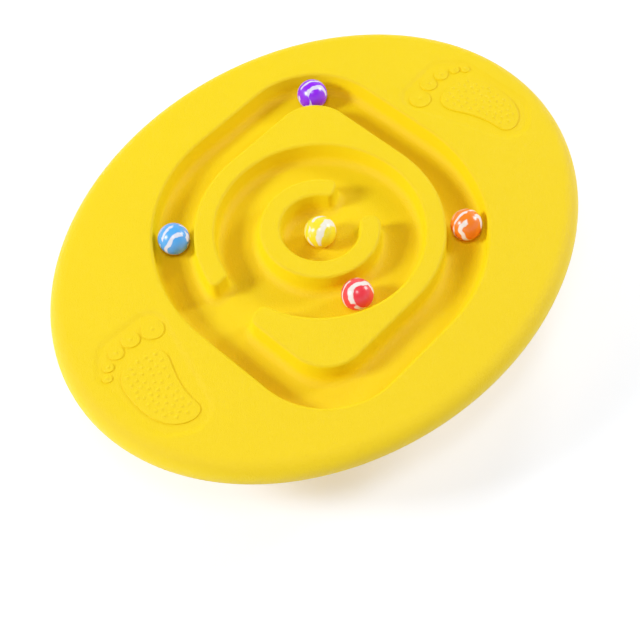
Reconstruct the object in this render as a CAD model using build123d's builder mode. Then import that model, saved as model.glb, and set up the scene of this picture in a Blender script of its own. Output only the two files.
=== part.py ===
from build123d import *
import os
from math import cos, radians, sin, sqrt, tan

# Oval balance board with a ball maze moulded into its deck, a domed rocker base and five balls.
# Millimetres, +Z up. The origin is on the floor under the middle of the board. +X is the long axis,
# and the toes of both footprints point along +Y.

# Board: two shells that meet at the middle of the rim
board_length = 500.0
board_width = 396.0
deck_height = 100.0
rim_thickness = 27.0
rim_round = 13.0
wall = 3.0

# Maze: a channel round a leaf-shaped wall, and a second one round a ring with a cup inside it
recess_half = 141.6
recess_corner = 69.0
leaf_half = 106.3
leaf_corner = 35.5
leaf_bore = 89.3
ring_outer = 51.3
ring_inner = 33.9
maze_depth = 21.0
maze_draft = 4.0
floor_fillet = 8.0
lip_fillet = 2.8
door_low, door_high = -17.0, 24.0
gap_start, gap_end = -31.0, 25.0

# Right footprint: a shallow dish, wrapped round circles (x, y, radius), a raised sole and five toes
# (x, y, radius), and massage bumps on them. Both footprints sit turned and shifted a little.
dish_depth = 1.2
dish_slope = 6.0
dish_steps = 6
dish_circles = [(166, 34.5, 15), (199, 35.5, 16), (209.5, 24.5, 16), (206, -33, 20.5), (196.5, -39.5, 21)]
sole_points = [
    (172.6, 8), (176, 16.6), (183, 20.6), (192, 22), (201, 21.4), (209.6, 18), (216.2, 9),
    (219.3, -6), (219.6, -20), (217.6, -31.5), (213, -41), (205, -48.6), (194.5, -51.4),
    (188, -48.6), (186, -40), (184.3, -25), (180.5, -13.3), (175.8, -3),
]
toes = [
    (164.2, 31.3, 9.4), (182.8, 37.2, 7.5), (199.0, 36.4, 6.3), (211.9, 31.2, 4.5),
    (219.2, 24.3, 4.0),
]
sole_edge = 0.5
foot_turn = -0.83
foot_shift = -1.0
bumps = [
    (186, 16), (193, 17.5), (200.5, 17), (208, 13), (178.5, 12.5), (185, 11), (194, 11.5),
    (202, 12), (179, 5), (185, 4.5), (191, 6), (198, 7), (205, 5.5), (210.5, 5.5), (182, -1.5),
    (188, -2.5), (192.5, 0.5), (201.5, 0.5), (206.5, -1), (211.5, -1.5), (185, -9.5), (192, -9.5),
    (196.5, -5.5), (203.5, -6.5), (214.5, -6), (199, -12.5), (205.5, -11.5), (211.5, -10),
    (188, -16.5), (193, -16.5), (203, -16.5), (208.5, -16), (213.5, -17), (189.5, -24),
    (194.5, -24), (199, -21), (207.5, -21), (202.5, -25.5), (213, -25), (191, -31.5),
    (195.5, -29.5), (200.5, -31.5), (208, -27.5), (211, -33), (190.5, -39), (196, -36.5),
    (201, -38.5), (206, -34.5), (205.5, -40.5), (197, -43.5),
]
bump_radius = 1.3
bump_top_radius = 0.6
bump_height = 0.5

# Rocker: a spherical dome on a skirt, with a rubber pad under it and a rubber ring round it
dome_sphere = 210.0
dome_flat = 44.0
dome_edge = 118.0
dome_wall = 5.5
dome_edge_fillet = 8.0
dome_root_fillet = 12.0
skirt_angle = 14.0
pad_radius = 40.0
pad_thickness = 5.0
pad_proud = 2.0
pad_edge = 1.2
pad_grooves = (12.0, 20.0, 28.0)
groove_width = 2.0
groove_depth = 0.8
seat_clearance = 0.2
grip_inner, grip_outer = 84.0, 96.0
grip_seat = 2.5
grip_proud = 1.5
grip_edge = 1.0

# Ribs inside the base
rib = 2.5
rib_rings = (26.0, 68.0, 100.0)
rib_spokes = 8
foot_rib_columns = (-24.0, 0.0, 24.0)
foot_rib_rows = (-32.0, 0.0, 32.0)
foot_rib_centre = 190.0
foot_rib_reach = 6.0
foot_rib_gap = 0.2
lip_height = 3.0
lip_thickness = 2.2
lip_clearance = 0.6

# Screws, on an ellipse between the maze and the rim
screw_count = 8
screw_ellipse = (215.0, 163.0)
boss_radius = 5.0
pilot_radius = 1.7
pilot_depth = 13.5
screw_radius = 1.65
screw_head_radius = 3.6
screw_head_height = 2.4
screw_length = 15.5
head_edge = 1.0
slot_length, slot_width, slot_depth = 4.2, 0.9, 1.4
screw_hole_radius = 2.1
well_radius = 5.0
well_depth = 6.0
well_wall = 2.5

# Balls: diameter, gap under them, and where each one lies in the maze
ball_diameter = 27.0
ball_gap = 0.3
ring_ball_angle = -112.0

# Worked out from the above
half_length, half_width = board_length / 2, board_width / 2
split_z = deck_height - rim_thickness / 2
under_z = deck_height - rim_thickness
pan_z = under_z + wall
plate_z = deck_height - wall
floor_z = deck_height - maze_depth
well_z = under_z + well_depth
boss_z = well_z + well_wall
dome_centre_z = pad_proud + sqrt(dome_sphere**2 - dome_flat**2)
leaf_channel = (leaf_half + recess_half) / 2
ring_channel = (ring_outer + leaf_bore) / 2
corner_centre = ((leaf_half - leaf_corner) + (recess_half - recess_corner)) / 2
corner_channel = leaf_channel - corner_centre
ball_z = floor_z + ball_gap + ball_diameter / 2
dish_z = deck_height - dish_depth


def dome_z(radius, inset=0.0):
    """Height of the dome's surface, or of one inset from it, at a distance from the middle."""
    return dome_centre_z - sqrt((dome_sphere - inset) ** 2 - radius**2)


def leaf(half, corner):
    """A square with two opposite corners rounded a little and the other two rounded fully."""
    flat = half - corner
    with BuildSketch(mode=Mode.PRIVATE) as shape:
        with BuildLine():
            Line((half, 0), (half, flat))
            CenterArc((flat, flat), corner, 0, 90)
            Line((flat, half), (0, half))
            CenterArc((0, 0), half, 90, 90)
            Line((-half, 0), (-half, -flat))
            CenterArc((-flat, -flat), corner, 180, 90)
            Line((-flat, -half), (0, -half))
            CenterArc((0, 0), half, 270, 90)
        make_face()
    return shape.sketch


def wedge(start, end, reach):
    """The space between two angles."""
    angles = (start, (start + end) / 2, end)
    with BuildSketch(mode=Mode.PRIVATE) as shape:
        with BuildLine():
            rays = [(reach * cos(radians(a)), reach * sin(radians(a))) for a in angles]
            Polyline((0, 0), *rays, close=True)
        make_face()
    return shape.sketch


def foot_place(x, y, side):
    """Where a point given for the right foot lies: mirrored for the left, then turned and shifted."""
    c, s = cos(radians(foot_turn)), sin(radians(foot_turn))
    return side * x * c - y * s, side * x * s + y * c + foot_shift


def dish_outline(side, inset):
    """The outline of a string pulled tight round the dish's circles."""
    with BuildSketch(mode=Mode.PRIVATE) as shape:
        for x, y, radius in dish_circles:
            with Locations(foot_place(x, y, side)):
                Circle(radius - inset)
        make_hull()
    return shape.sketch


def raised_foot(side):
    """The sole and toes from below the dish's floor up to deck level, with their bumps."""
    with BuildPart(mode=Mode.PRIVATE) as foot:
        with BuildSketch(Plane.XY.offset(dish_z - wall / 2)):
            with BuildLine():
                Spline(*[foot_place(x, y, side) for x, y in sole_points], periodic=True)
            make_face()
            for x, y, radius in toes:
                with Locations(foot_place(x, y, side)):
                    Circle(radius)
        extrude(amount=dish_depth + wall / 2)
        fillet(foot.edges().group_by(Axis.Z)[-1], sole_edge)
        spots = [foot_place(x, y, side) for x, y in bumps + [toe[:2] for toe in toes]]
        with Locations(*[(x, y, deck_height - bump_height) for x, y in spots]):
            Cone(bump_radius, bump_top_radius, 2 * bump_height, align=(Align.CENTER, Align.CENTER, Align.MIN))
    return foot.part


def round_corners(corners):
    """Fillets the corners of the sketch in hand that lie nearest to the given points."""
    for x, y, radius in corners:
        fillet(vertices().sort_by_distance((x, y))[0], radius)


with BuildSketch() as leaf_plan:
    add(leaf(leaf_half, leaf_corner))
    Circle(leaf_bore, mode=Mode.SUBTRACT)
    with Locations((-leaf_half, (door_low + door_high) / 2)):
        Rectangle(leaf_half, door_high - door_low, mode=Mode.SUBTRACT)
    round_corners([
        (-leaf_half, door_high, 5), (-leaf_bore, door_high, 5),
        (-leaf_half, door_low, 10), (-leaf_bore, door_low, 6),
    ])

with BuildSketch() as ring_plan:
    Circle(ring_outer)
    Circle(ring_inner, mode=Mode.SUBTRACT)
    add(wedge(gap_start, gap_end, 2 * ring_outer), mode=Mode.SUBTRACT)
    round_corners([
        (r * cos(radians(a)), r * sin(radians(a)), corner)
        for a, corner in ((gap_start, 8.4), (gap_end, 5.5))
        for r in (ring_inner, ring_outer)
    ])


def maze_space(grow):
    """The space inside the maze; grown by a wall's thickness it is the maze seen from below."""
    top = Plane.XY.offset(deck_height)
    depth = maze_depth + grow
    with BuildPart(mode=Mode.PRIVATE) as space:
        with BuildSketch(top):
            add(leaf(recess_half, recess_corner))
            if grow:
                offset(amount=grow)
        extrude(amount=-depth, taper=maze_draft)
        for plan in (leaf_plan.sketch, ring_plan.sketch):
            with BuildSketch(top):
                add(plan)
                if grow:
                    offset(amount=-grow)
            extrude(amount=-depth, taper=-maze_draft, mode=Mode.SUBTRACT)
        fillet(space.edges().group_by(Axis.Z)[0], floor_fillet)
    return space.part


def oval_slab(low, high, inset, low_round=0.0, high_round=0.0):
    """A slab with the board's outline, inset all round, with rounded lower or upper edges."""
    with BuildPart(mode=Mode.PRIVATE) as slab:
        with BuildSketch(Plane.XY.offset(low)):
            Ellipse(half_length - inset, half_width - inset)
        extrude(amount=high - low)
        if low_round:
            fillet(slab.edges().group_by(Axis.Z)[0], low_round)
        if high_round:
            fillet(slab.edges().group_by(Axis.Z)[-1], high_round)
    return slab.part


def dome(inset, top):
    """The rocker's dome and skirt down to its flat, as a solid of revolution."""
    flat_z = pad_proud + (inset and wall + pad_thickness - pad_proud)
    flat = sqrt((dome_sphere - inset) ** 2 - (dome_centre_z - flat_z) ** 2)
    edge = dome_edge - (wall if inset else 0)
    middle = (flat + edge) / 2
    run = (top - dome_z(edge, inset)) * tan(radians(skirt_angle))
    with BuildPart(mode=Mode.PRIVATE) as body:
        with BuildSketch(Plane.XZ):
            with BuildLine():
                Line((0, flat_z), (flat, flat_z))
                ThreePointArc((flat, flat_z), (middle, dome_z(middle, inset)), (edge, dome_z(edge, inset)))
                Polyline((edge, dome_z(edge, inset)), (edge + run, top), (0, top), (0, flat_z))
            make_face()
            round_corners([(edge, dome_z(edge, inset), dome_edge_fillet)])
        revolve(axis=Axis.Z)
    return body.part


def dome_band(inner, outer, inset_high, inset_low, low_round=0.0):
    """A ring that follows the dome's surface between two radii, with rounded lower edges."""
    middle = (inner + outer) / 2
    with BuildPart(mode=Mode.PRIVATE) as band:
        with BuildSketch(Plane.XZ):
            with BuildLine():
                for inset in (inset_high, inset_low):
                    ThreePointArc(*[(r, dome_z(r, inset)) for r in (inner, middle, outer)])
                for r in (inner, outer):
                    Line((r, dome_z(r, inset_low)), (r, dome_z(r, inset_high)))
            make_face()
            if low_round:
                round_corners([(r, dome_z(r, inset_low), low_round) for r in (inner, outer)])
        revolve(axis=Axis.Z)
    return band.part


def screw_places():
    """Where the screws are in plan."""
    turns = [radians((i + 0.5) * 360 / screw_count) for i in range(screw_count)]
    return [(screw_ellipse[0] * cos(t), screw_ellipse[1] * sin(t)) for t in turns]


# Deck shell: upper half of the rim, top plate, maze, footprints, and screw bosses below
with BuildPart() as deck:
    add(oval_slab(split_z, deck_height, 0, high_round=rim_round))
    add(oval_slab(split_z, plate_z, wall, high_round=rim_round - wall), mode=Mode.SUBTRACT)
    add(maze_space(wall))
    add(maze_space(0), mode=Mode.SUBTRACT)
    lips = deck.edges().filter_by_position(Axis.Z, deck_height, deck_height)
    fillet(lips.filter_by(lambda edge: edge.length < half_length), lip_fillet)
    for side in (1, -1):
        with BuildSketch(Plane.XY.offset(plate_z - dish_depth)):
            add(dish_outline(side, -dish_slope / 2))
        extrude(amount=wall)
        for t in [step / dish_steps for step in range(dish_steps + 1)]:
            with BuildSketch(Plane.XY.offset(deck_height - dish_depth * t * t * (3 - 2 * t))):
                add(dish_outline(side, dish_slope * (t - 0.5)))
        loft(ruled=True, mode=Mode.SUBTRACT)
        add(raised_foot(side))
    with BuildSketch(Plane.XY.offset(boss_z)):
        with Locations(screw_places()):
            Circle(boss_radius)
    extrude(amount=plate_z - boss_z + wall / 2)
    with BuildSketch(Plane.XY.offset(boss_z)):
        with Locations(screw_places()):
            Circle(pilot_radius)
    extrude(amount=pilot_depth, mode=Mode.SUBTRACT)
deck.part.label = "deck"

# Base shell: lower half of the rim, pan, dome, ribs, and a lip that plugs into the deck's rim
with BuildPart() as rocker_base:
    add(oval_slab(under_z, split_z, 0, low_round=rim_round))
    add(dome(0, under_z + wall / 2))
    root = rocker_base.edges().filter_by_position(Axis.Z, under_z, under_z)
    fillet(root.filter_by(GeomType.CIRCLE), dome_root_fillet)
    add(oval_slab(pan_z, split_z, wall, low_round=rim_round - wall), mode=Mode.SUBTRACT)
    add(dome(dome_wall, pan_z), mode=Mode.SUBTRACT)
    # ribs under the maze, held inside the dome
    with BuildPart(mode=Mode.PRIVATE) as dome_ribs:
        with BuildSketch(Plane.XY.offset(pad_proud)):
            for radius in rib_rings:
                Circle(radius + rib / 2)
                Circle(radius - rib / 2, mode=Mode.SUBTRACT)
            with PolarLocations((rib_rings[0] + dome_edge) / 2, rib_spokes):
                Rectangle(dome_edge - rib_rings[0] + 2 * rib, rib)
        extrude(amount=pan_z - pad_proud)
        add(dome(dome_wall - 1, pan_z), mode=Mode.INTERSECT)
    add(dome_ribs.part)
    # egg-crate ribs under the feet
    with BuildSketch(Plane.XY.offset(pan_z - wall / 2)):
        for side in (1, -1):
            for x in foot_rib_columns:
                with Locations((side * (foot_rib_centre + x), 0)):
                    Rectangle(rib, 2 * (foot_rib_rows[-1] + foot_rib_reach))
            for y in foot_rib_rows:
                with Locations((side * foot_rib_centre, y)):
                    Rectangle(2 * (foot_rib_columns[-1] + foot_rib_reach), rib)
    extrude(amount=plate_z - dish_depth - foot_rib_gap - pan_z + wall / 2)
    # lip inside the rim
    with BuildSketch(Plane.XY.offset(split_z - lip_height)):
        Ellipse(half_length - wall / 2, half_width - wall / 2)
        Ellipse(half_length - wall - lip_thickness, half_width - wall - lip_thickness, mode=Mode.SUBTRACT)
    extrude(amount=lip_height)
    with BuildSketch(Plane.XY.offset(split_z)):
        Ellipse(half_length - wall - lip_clearance, half_width - wall - lip_clearance)
        Ellipse(half_length - wall - lip_thickness, half_width - wall - lip_thickness, mode=Mode.SUBTRACT)
    extrude(amount=lip_height)
    # screw wells, seat of the pad and groove of the grip ring
    with BuildSketch(Plane.XY.offset(under_z + wall / 2)):
        with Locations(screw_places()):
            Circle(well_radius + well_wall)
    extrude(amount=well_depth + well_wall - wall / 2)
    with Locations(*[Location((x, y, under_z), (180, 0, 0)) for x, y in screw_places()]):
        CounterBoreHole(screw_hole_radius, well_radius, well_depth, depth=well_depth + well_wall)
    with BuildSketch(Plane.XY.offset(pad_proud)):
        Circle(pad_radius + seat_clearance)
    extrude(amount=pad_thickness - pad_proud, mode=Mode.SUBTRACT)
    add(dome_band(grip_inner, grip_outer, grip_seat, -grip_proud), mode=Mode.SUBTRACT)
rocker_base.part.label = "rocker_base"

# Rubber pad under the dome, with tread grooves
with BuildPart() as foot_pad:
    Cylinder(pad_radius, pad_thickness, align=(Align.CENTER, Align.CENTER, Align.MIN))
    fillet(foot_pad.edges().group_by(Axis.Z)[0], pad_edge)
    with BuildSketch():
        for radius in pad_grooves:
            Circle(radius + groove_width / 2)
            Circle(radius - groove_width / 2, mode=Mode.SUBTRACT)
    extrude(amount=groove_depth, mode=Mode.SUBTRACT)
foot_pad.part.label = "foot_pad"

# Rubber ring in the dome's groove
with BuildPart() as grip_ring:
    inner, outer = grip_inner + seat_clearance, grip_outer - seat_clearance
    add(dome_band(inner, outer, grip_seat, -grip_proud, low_round=grip_edge))
grip_ring.part.label = "grip_ring"

# Screws, from below
with BuildPart() as shell_screws:
    with BuildSketch(Plane.XY.offset(well_z - screw_head_height)):
        with Locations(screw_places()):
            Circle(screw_head_radius)
    extrude(amount=screw_head_height)
    fillet(shell_screws.edges().group_by(Axis.Z)[0], head_edge)
    with BuildSketch(Plane.XY.offset(well_z)):
        with Locations(screw_places()):
            Circle(screw_radius)
    extrude(amount=screw_length)
    with BuildSketch(Plane.XY.offset(well_z - screw_head_height)):
        with Locations(screw_places()):
            Rectangle(slot_length, slot_width)
            Rectangle(slot_width, slot_length)
    extrude(amount=slot_depth, mode=Mode.SUBTRACT)
shell_screws.part.label = "shell_screws"

# Balls, each where it lies in the maze
outward = sqrt(0.5)
ball_places = {
    "ball_blue": (-leaf_channel * outward, leaf_channel * outward),
    "ball_orange": (leaf_channel * outward, -leaf_channel * outward),
    "ball_purple": (corner_centre + corner_channel * outward, corner_centre + corner_channel * outward),
    "ball_red": (
        ring_channel * cos(radians(ring_ball_angle)), ring_channel * sin(radians(ring_ball_angle))
    ),
    "ball_yellow": (0, 0),
}
balls = []
for name, (x, y) in ball_places.items():
    with BuildPart() as ball:
        with Locations((x, y, ball_z)):
            Sphere(ball_diameter / 2)
    ball.part.label = name
    balls.append(ball)

os.makedirs("parts", exist_ok=True)
for piece in [deck, rocker_base, foot_pad, grip_ring, shell_screws] + balls:
    export_step(piece.part, f"parts/{piece.part.label}.step")
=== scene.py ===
import bpy
import math
import numpy as np
from mathutils import Matrix, Vector


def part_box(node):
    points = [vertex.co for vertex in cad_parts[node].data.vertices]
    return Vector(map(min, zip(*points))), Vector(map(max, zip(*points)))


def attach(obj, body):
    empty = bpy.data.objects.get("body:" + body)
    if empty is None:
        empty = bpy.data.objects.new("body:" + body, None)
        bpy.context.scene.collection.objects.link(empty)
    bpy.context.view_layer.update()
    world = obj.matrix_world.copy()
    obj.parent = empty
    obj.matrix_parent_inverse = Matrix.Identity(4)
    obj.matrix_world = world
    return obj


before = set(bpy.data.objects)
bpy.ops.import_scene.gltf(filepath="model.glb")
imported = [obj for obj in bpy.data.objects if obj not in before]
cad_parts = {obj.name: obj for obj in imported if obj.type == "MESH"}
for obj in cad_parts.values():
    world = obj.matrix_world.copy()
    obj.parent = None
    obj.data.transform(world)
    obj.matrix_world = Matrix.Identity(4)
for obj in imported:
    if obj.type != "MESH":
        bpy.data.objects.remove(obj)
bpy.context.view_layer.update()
print("frame loaded:", len(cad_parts), "nodes")

mouldedBumps = 0.0005                  # how far the deck's own small bumps rise over its flat top
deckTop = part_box("deck")[1].z - mouldedBumps


def towards(azimuth, elevation):
    # unit vector in a direction given in degrees, azimuth from +X
    turn, rise = math.radians(azimuth), math.radians(elevation)
    return Vector((math.cos(rise) * math.cos(turn), math.cos(rise) * math.sin(turn), math.sin(rise)))


def turnedProfile(radii, heights, around):
    # points at (radius cos t, radius sin t, height), one ring of them for each pair of radius and height
    turn = np.linspace(0, 2 * math.pi, around, endpoint=False)
    x = np.outer(radii, np.cos(turn))
    y = np.outer(radii, np.sin(turn))
    z = np.repeat(heights, around).reshape(x.shape)
    return np.stack([x, y, z], -1).reshape(-1, 3)


def ringFaces(rings, around):
    # a quad between each two neighbours on a ring and the two above them
    ring, here = np.mgrid[0:rings - 1, 0:around]
    after = (here + 1) % around
    low, high = ring * around, (ring + 1) * around
    return np.stack([low + here, low + after, high + after, high + here], -1).reshape(-1, 4)


def meshObject(name, verts, faces):
    mesh = bpy.data.meshes.new(name)
    mesh.from_pydata(verts.tolist(), [], faces)
    mesh.polygons.foreach_set("use_smooth", [True] * len(mesh.polygons))
    mesh.update()
    piece = bpy.data.objects.new(name, mesh)
    bpy.context.scene.collection.objects.link(piece)
    return piece


def addNode(tree, kind, x, y, **values):
    # a value names one of the node's own settings, or else an input, with _ for a space
    node = tree.nodes.new(kind)
    node.location = (x, y)
    for key, value in values.items():
        if hasattr(node, key):
            setattr(node, key, value)
        else:
            node.inputs[key.replace("_", " ")].default_value = value
    return node


def principled(name):
    material = bpy.data.materials.new(name)
    material.use_nodes = True
    return material, material.node_tree, material.node_tree.nodes["Principled BSDF"]


def newGroup(name, inputs, outputs):
    # a shader node group with sockets given as (label, type, default) and (label, type)
    group = bpy.data.node_groups.new(name, "ShaderNodeTree")
    for label, kind, value in inputs:
        socket = group.interface.new_socket(label, in_out="INPUT", socket_type=kind)
        if value is not None:
            socket.default_value = value
    for label, kind in outputs:
        group.interface.new_socket(label, in_out="OUTPUT", socket_type=kind)
    return group


camera = {
    "aim": (-0.0682, -0.0620),     # where the view's middle meets the deck
    "azimuth": -136.05,            # of the camera, seen from the aim point, degrees from +X
    "elevation": 58.4,
    "distance": 1.0058,
    "roll": 1.95,
    "lens": 70.45,
    "sensor": 36.0,
    "near": 0.05,
    "far": 20.0,
}


def makeCamera():
    data = bpy.data.cameras.new("camera")
    data.lens = camera["lens"]
    data.sensor_width = camera["sensor"]
    data.clip_start = camera["near"]
    data.clip_end = camera["far"]
    eye = bpy.data.objects.new("camera", data)
    bpy.context.scene.collection.objects.link(eye)
    away = towards(camera["azimuth"], camera["elevation"])
    aim = Vector((*camera["aim"], deckTop))
    level = away.to_track_quat("Z", "Y").to_matrix().to_4x4()
    roll = Matrix.Rotation(math.radians(-camera["roll"]), 4, "Z")
    eye.matrix_world = Matrix.Translation(aim + away * camera["distance"]) @ level @ roll
    bpy.context.scene.camera = eye


makeCamera()
print("camera placed")


studio = {
    "floorRadius": 2.6,                        # flat part; beyond it the backdrop curves up
    "backdropBend": 1.2,
    "backdropHeight": 2.4,
    "bendRings": 12,
    "around": 96,
    "floorColour": (0.90, 0.94, 1.0),          # a little cool against the board's yellow
    "floorRoughness": 0.9,
    "floorGlow": 0.33,
    "sky": 0.08,
    "shoulder": 0.45,                          # how much bright tones are pressed together
    "boxSize": 0.40,                           # of the square softboxes
    "boxDistance": 1.8,
}
softboxes = {
    # name: power, azimuth, elevation, whether it shows as a highlight
    "key": (39.0, 146.0, 37.0, True),          # camera's left, low
    "fill": (27.0, 337.0, 31.0, True),         # camera's right, low
    "back": (14.0, 20.0, 36.0, False),
    "front": (11.0, 215.0, 72.0, True),        # nearly overhead
}


def makeSoftbox(name, power, azimuth, elevation, highlight):
    data = bpy.data.lights.new(name, "AREA")
    data.shape = "SQUARE"
    data.size = studio["boxSize"]
    data.energy = power
    lamp = bpy.data.objects.new(name, data)
    lamp.visible_glossy = highlight
    bpy.context.scene.collection.objects.link(lamp)
    away = towards(azimuth, elevation)
    place = Matrix.Translation(away * studio["boxDistance"])
    lamp.matrix_world = place @ away.to_track_quat("Z", "Y").to_matrix().to_4x4()


def makeBackdrop():
    # a profile turned about the middle: down a wall, through a quarter circle and in over the floor
    bend, flat, around = studio["backdropBend"], studio["floorRadius"], studio["around"]
    arc = np.linspace(math.pi / 2, 0, studio["bendRings"])
    radii = np.concatenate([[flat + bend], flat + bend * np.sin(arc), [0.001]])
    heights = np.concatenate([[studio["backdropHeight"]], bend - bend * np.cos(arc), [0.0]])
    middle = list(range((len(radii) - 1) * around, len(radii) * around))
    faces = ringFaces(len(radii), around).tolist() + [middle]
    floor = meshObject("floor", turnedProfile(radii, heights, around), faces)
    material, tree, shader = principled("floorPaper")
    shader.inputs["Base Color"].default_value = (*studio["floorColour"], 1)
    shader.inputs["Roughness"].default_value = studio["floorRoughness"]
    shader.inputs["Emission Color"].default_value = (1, 1, 1, 1)
    shader.inputs["Emission Strength"].default_value = studio["floorGlow"]
    floor.data.materials.append(material)


def makeSky():
    world = bpy.data.worlds.new("sky")
    bpy.context.scene.world = world
    world.use_nodes = True
    background = world.node_tree.nodes["Background"]
    background.inputs["Color"].default_value = (1, 1, 1, 1)
    background.inputs["Strength"].default_value = studio["sky"]


def makeTone():
    # a film shoulder: shown = light / (1 + shoulder * light), which reaches white at 1 / (1 - shoulder)
    view = bpy.context.scene.view_settings
    view.view_transform = "Standard"
    view.use_curve_mapping = True
    mapping = view.curve_mapping
    white = 1 / (1 - studio["shoulder"])
    mapping.white_level = (white, white, white)
    curve = mapping.curves[3]
    for x in (0.04, 0.1, 0.2, 0.35, 0.55, 0.78):
        light = x * white
        curve.points.new(x, light / (1 + studio["shoulder"] * light))
    mapping.update()


makeTone()
makeBackdrop()
makeSky()
for name, values in softboxes.items():
    makeSoftbox(name, *values)
print("studio lit")


def makeGrainGroup():
    # fine sandblast grain as a height, and a broad noise that makes the colour a little lighter and darker
    group = newGroup("grain", [("Size", "NodeSocketFloat", 0.0008), ("Mottle", "NodeSocketFloat", 0.02)],
                     [("Height", "NodeSocketFloat"), ("Tone", "NodeSocketFloat")])
    inputs = addNode(group, "NodeGroupInput", -900, 0)
    coords = addNode(group, "ShaderNodeTexCoord", -900, 200)
    invert = addNode(group, "ShaderNodeMath", -700, 0, operation="DIVIDE")
    invert.inputs[0].default_value = 1.0
    fine = addNode(group, "ShaderNodeTexNoise", -450, 200, Detail=3.0, Roughness=0.6)
    broad = addNode(group, "ShaderNodeTexNoise", -450, -200, Scale=9.0, Detail=2.0)
    spread = addNode(group, "ShaderNodeMapRange", -200, -200)
    low = addNode(group, "ShaderNodeMath", -420, -450, operation="SUBTRACT")
    low.inputs[0].default_value = 1.0
    high = addNode(group, "ShaderNodeMath", -420, -650, operation="ADD")
    high.inputs[0].default_value = 1.0
    outputs = addNode(group, "NodeGroupOutput", 100, 0)
    link = group.links.new
    link(inputs.outputs["Size"], invert.inputs[1])
    link(coords.outputs["Object"], fine.inputs["Vector"])
    link(coords.outputs["Object"], broad.inputs["Vector"])
    link(invert.outputs[0], fine.inputs["Scale"])
    link(inputs.outputs["Mottle"], low.inputs[1])
    link(inputs.outputs["Mottle"], high.inputs[1])
    link(broad.outputs["Fac"], spread.inputs["Value"])
    link(low.outputs[0], spread.inputs["To Min"])
    link(high.outputs[0], spread.inputs["To Max"])
    link(fine.outputs["Fac"], outputs.inputs["Height"])
    link(spread.outputs[0], outputs.inputs["Tone"])
    return group


marble = {
    "bend": 0.75,
    "breaks": 0.42,
    "softBreak": 0.06,
    "roughness": 0.25,
    "bendNoises": ((0.9, 1.0), (3.2, 0.22)),   # size and share of each noise that bends the bands
    "bands": (                                 # paleness along the pole, from 0 at one end to 1
        (0.10, 0.8), (0.13, 0), (0.19, 0), (0.205, 0.9), (0.225, 0), (0.27, 0), (0.30, 0.7), (0.315, 0),
        (0.45, 0), (0.475, 1), (0.525, 1), (0.55, 0), (0.72, 0), (0.75, 1), (0.85, 1),
    ),
    "lastBandEnds": 0.875,
    "streakSize": 1.3,
    "streakSeed": 7.3,                         # added to the ball's seed for the breaks
}


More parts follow.
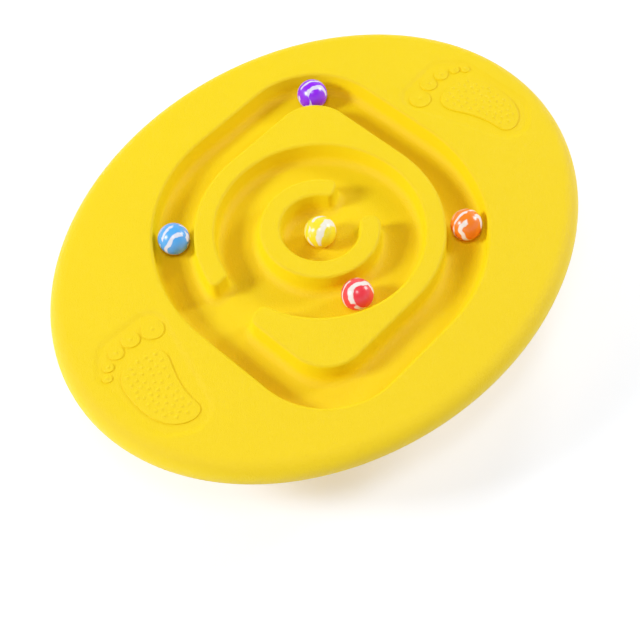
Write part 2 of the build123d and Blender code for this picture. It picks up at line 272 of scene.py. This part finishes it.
def makeMarbleGroup():
    # bands round a pole: the height along the pole, bent by two noises, is looked up on a ramp of pale
    # bands of uneven width, and the bands break off where a third noise is low
    group = newGroup("marble", [("Centre", "NodeSocketVector", None), ("Pole", "NodeSocketVector", None),
                                ("Radius", "NodeSocketFloat", 0.0135), ("Bend", "NodeSocketFloat", 0.5),
                                ("Breaks", "NodeSocketFloat", 0.5), ("Seed", "NodeSocketFloat", 0.0)],
                     [("Vein", "NodeSocketFloat")])
    inputs = addNode(group, "NodeGroupInput", -1500, 0)
    coords = addNode(group, "ShaderNodeTexCoord", -1500, 300)
    local = addNode(group, "ShaderNodeVectorMath", -1300, 300, operation="SUBTRACT")
    inverse = addNode(group, "ShaderNodeMath", -1300, 100, operation="DIVIDE")
    inverse.inputs[0].default_value = 1.0
    unit = addNode(group, "ShaderNodeVectorMath", -1120, 300, operation="SCALE")
    along = addNode(group, "ShaderNodeVectorMath", -900, 400, operation="DOT_PRODUCT")
    link = group.links.new
    link(coords.outputs["Object"], local.inputs[0])
    link(inputs.outputs["Centre"], local.inputs[1])
    link(inputs.outputs["Radius"], inverse.inputs[1])
    link(local.outputs[0], unit.inputs[0])
    link(inverse.outputs[0], unit.inputs["Scale"])
    link(unit.outputs[0], along.inputs[0])
    link(inputs.outputs["Pole"], along.inputs[1])
    height = along.outputs["Value"]
    for index, (scale, share) in enumerate(marble["bendNoises"]):
        x = -700 + 300 * index
        noise = addNode(group, "ShaderNodeTexNoise", x, 150, noise_dimensions="4D", Scale=scale, Detail=1.0)
        centred = addNode(group, "ShaderNodeMath", x, -80, operation="SUBTRACT")
        centred.inputs[1].default_value = 0.5
        weight = addNode(group, "ShaderNodeMath", x, -250, operation="MULTIPLY")
        weight.inputs[1].default_value = share
        push = addNode(group, "ShaderNodeMath", x + 150, -80, operation="MULTIPLY_ADD")
        link(unit.outputs[0], noise.inputs["Vector"])
        link(inputs.outputs["Seed"], noise.inputs["W"])
        link(noise.outputs["Fac"], centred.inputs[0])
        link(inputs.outputs["Bend"], weight.inputs[0])
        link(centred.outputs[0], push.inputs[0])
        link(weight.outputs[0], push.inputs[1])
        link(height, push.inputs[2])
        height = push.outputs[0]
    spread = addNode(group, "ShaderNodeMapRange", -100, 200)
    spread.inputs["From Min"].default_value = -1.0
    ramp = addNode(group, "ShaderNodeValToRGB", 100, 200)
    ramp.color_ramp.interpolation = "EASE"
    elements = ramp.color_ramp.elements
    for place, shade in marble["bands"]:
        elements.new(place).color = (shade, shade, shade, 1)
    for end, place in ((elements[0], 0.0), (elements[-1], marble["lastBandEnds"])):
        end.position = place
        end.color = (0, 0, 0, 1)
    streak = addNode(group, "ShaderNodeTexNoise", 100, -100, noise_dimensions="4D",
                     Scale=marble["streakSize"], Detail=0.5)
    low = addNode(group, "ShaderNodeMath", 100, -350, operation="SUBTRACT")
    low.inputs[1].default_value = marble["softBreak"]
    cut = addNode(group, "ShaderNodeMapRange", 350, -100, interpolation_type="SMOOTHSTEP")
    vein = addNode(group, "ShaderNodeMath", 550, 100, operation="MULTIPLY")
    outputs = addNode(group, "NodeGroupOutput", 750, 100)
    shifted = addNode(group, "ShaderNodeMath", -100, -350, operation="ADD")
    shifted.inputs[1].default_value = marble["streakSeed"]
    link(inputs.outputs["Seed"], shifted.inputs[0])
    link(height, spread.inputs["Value"])
    link(spread.outputs[0], ramp.inputs[0])
    link(unit.outputs[0], streak.inputs["Vector"])
    link(shifted.outputs[0], streak.inputs["W"])
    link(streak.outputs["Fac"], cut.inputs["Value"])
    link(inputs.outputs["Breaks"], low.inputs[0])
    link(low.outputs[0], cut.inputs["From Min"])
    link(inputs.outputs["Breaks"], cut.inputs["From Max"])
    link(ramp.outputs["Color"], vein.inputs[0])
    link(cut.outputs[0], vein.inputs[1])
    link(vein.outputs[0], outputs.inputs["Vein"])
    return group


grainGroup = makeGrainGroup()
marbleGroup = makeMarbleGroup()


plastic = {
    "colour": (0.95, 0.635, 0.002),
    "roughness": 0.52,
    "specular": 0.20,
    "diffuseRoughness": 1.0,
    "metallic": 0.0,
    "grainSize": 0.0011,
    "grainHeight": 0.00075,
    "mottle": 0.02,
}
rubber = {
    "colour": (0.025, 0.025, 0.028),
    "roughness": 0.6,
    "specular": 0.5,
    "diffuseRoughness": 0.0,
    "metallic": 0.0,
    "grainSize": 0.0006,
    "grainHeight": 0.00006,
    "mottle": 0.15,
}
steel = {
    "colour": (0.55, 0.56, 0.58),
    "roughness": 0.32,
    "specular": 0.5,
    "diffuseRoughness": 0.0,
    "metallic": 1.0,
    "grainSize": 0.0004,
    "grainHeight": 0.00002,
    "mottle": 0.1,
}


def makeGrained(name, finish):
    material, tree, shader = principled(name)
    grain = addNode(tree, "ShaderNodeGroup", -700, 0, node_tree=grainGroup)
    grain.inputs["Size"].default_value = finish["grainSize"]
    grain.inputs["Mottle"].default_value = finish["mottle"]
    tint = addNode(tree, "ShaderNodeMix", -450, 200, data_type="RGBA", blend_type="MULTIPLY")
    tint.inputs[0].default_value = 1.0
    tint.inputs[6].default_value = (*finish["colour"], 1)
    bump = addNode(tree, "ShaderNodeBump", -250, -200, Distance=finish["grainHeight"])
    shader.inputs["Roughness"].default_value = finish["roughness"]
    shader.inputs["Specular IOR Level"].default_value = finish["specular"]
    shader.inputs["Diffuse Roughness"].default_value = finish["diffuseRoughness"]
    shader.inputs["Metallic"].default_value = finish["metallic"]
    tree.links.new(grain.outputs["Tone"], tint.inputs[7])
    tree.links.new(tint.outputs[2], shader.inputs["Base Color"])
    tree.links.new(grain.outputs["Height"], bump.inputs["Height"])
    tree.links.new(bump.outputs["Normal"], shader.inputs["Normal"])
    return material


marbles = {
    # node: colour, pale vein, pole of the bands, seed
    "ball_blue": ((0.055, 0.30, 0.86), (0.66, 0.70, 0.86), (-0.19, -0.95, 0.24), 1.3),
    "ball_purple": ((0.20, 0.012, 0.85), (0.66, 0.60, 0.88), (-0.35, -0.90, 0.24), 5.1),
    "ball_yellow": ((0.93, 0.70, 0.02), (0.86, 0.80, 0.62), (0.10, -0.93, 0.35), 9.7),
    "ball_red": ((0.86, 0.030, 0.045), (0.86, 0.74, 0.68), (-0.10, -0.80, 0.60), 14.2),
    "ball_orange": ((0.93, 0.15, 0.010), (0.86, 0.72, 0.64), (-0.25, -0.93, 0.28), 21.5),
}


def makeMarbled(node, colour, vein, pole, seed):
    material, tree, shader = principled(node + "_rubber")
    low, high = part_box(node)
    swirl = addNode(tree, "ShaderNodeGroup", -700, 0, node_tree=marbleGroup)
    swirl.inputs["Centre"].default_value = (low + high) / 2
    swirl.inputs["Pole"].default_value = pole
    swirl.inputs["Radius"].default_value = (high - low).x / 2
    swirl.inputs["Bend"].default_value = marble["bend"]
    swirl.inputs["Breaks"].default_value = marble["breaks"]
    swirl.inputs["Seed"].default_value = seed
    mix = addNode(tree, "ShaderNodeMix", -400, 200, data_type="RGBA")
    mix.inputs[6].default_value = (*colour, 1)
    mix.inputs[7].default_value = (*vein, 1)
    tree.links.new(swirl.outputs["Vein"], mix.inputs[0])
    tree.links.new(mix.outputs[2], shader.inputs["Base Color"])
    shader.inputs["Roughness"].default_value = marble["roughness"]
    return material


# massage bumps on the soles and toes: soft domes over the moulded ones
soleBumps = {
    "radius": 0.0019,
    "height": 0.00075,
    "sunk": 0.0004,                # of the flat foot below the deck's top
    "mouldedTop": 0.002,           # no moulded bump's flat top is wider, and no two are closer
    "around": 20,
    "rings": 6,
}


def findMouldedBumps():
    # corners of the deck higher than its flat top belong to bumps; those close together are one bump's
    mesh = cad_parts["deck"].data
    corners = np.empty(3 * len(mesh.vertices))
    mesh.vertices.foreach_get("co", corners)
    corners = corners.reshape(-1, 3)
    left = corners[corners[:, 2] > deckTop + mouldedBumps / 2, :2]
    middles = []
    while len(left):
        same = np.hypot(*(left - left[0]).T) < soleBumps["mouldedTop"]
        middles.append((left[same].min(axis=0) + left[same].max(axis=0)) / 2)
        left = left[~same]
    return np.array(middles)


def makeBumps(name, middles, material):
    # each bump has height h (1 - (r / R)^2)^2 at radius r, over a short wall and a flat foot in the deck
    around, rings, sunk = soleBumps["around"], soleBumps["rings"], soleBumps["sunk"]
    radius, height = soleBumps["radius"], soleBumps["height"]
    inward = np.linspace(radius, 0, rings + 1)[:-1]
    radii = np.concatenate([[radius], inward])
    heights = np.concatenate([[-sunk], height * (1 - (inward / radius) ** 2) ** 2])
    tips = np.array([[0, 0, height], [0, 0, -sunk]])
    bump = np.concatenate([turnedProfile(radii, heights, around), tips])
    here = np.arange(around)
    after = (here + 1) % around
    top, foot = len(bump) - 2, len(bump) - 1
    cap = np.stack([rings * around + here, rings * around + after, np.full(around, top)], -1)
    sole = np.stack([after, here, np.full(around, foot)], -1)
    places = np.column_stack([middles, np.full(len(middles), deckTop)])
    verts = (places[:, None] + bump[None]).reshape(-1, 3)
    steps = np.arange(len(places))[:, None, None] * len(bump)
    quads, caps, soles = ((steps + part[None]).reshape(-1, part.shape[1]).tolist()
                          for part in (ringFaces(rings + 1, around), cap, sole))
    piece = meshObject(name, verts, quads + caps + soles)
    piece.data.materials.append(material)
    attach(piece, "board")


def paint(node, material):
    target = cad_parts[node]
    target.data.materials.clear()
    target.data.materials.append(material)


deckPlastic = makeGrained("deckPlastic", plastic)
paint("deck", deckPlastic)
paint("rocker_base", makeGrained("basePlastic", plastic))
for node in ("foot_pad", "grip_ring"):
    paint(node, makeGrained("padRubber_" + node, rubber))
paint("shell_screws", makeGrained("zincSteel", steel))
for node, (colour, vein, pole, seed) in marbles.items():
    paint(node, makeMarbled(node, colour, vein, pole, seed))
print("finishes made")

middles = findMouldedBumps()
makeBumps("bumpsRight", middles[middles[:, 0] > 0], deckPlastic)
makeBumps("bumpsLeft", middles[middles[:, 0] < 0], deckPlastic)
print("bumps laid on", len(middles), "places")
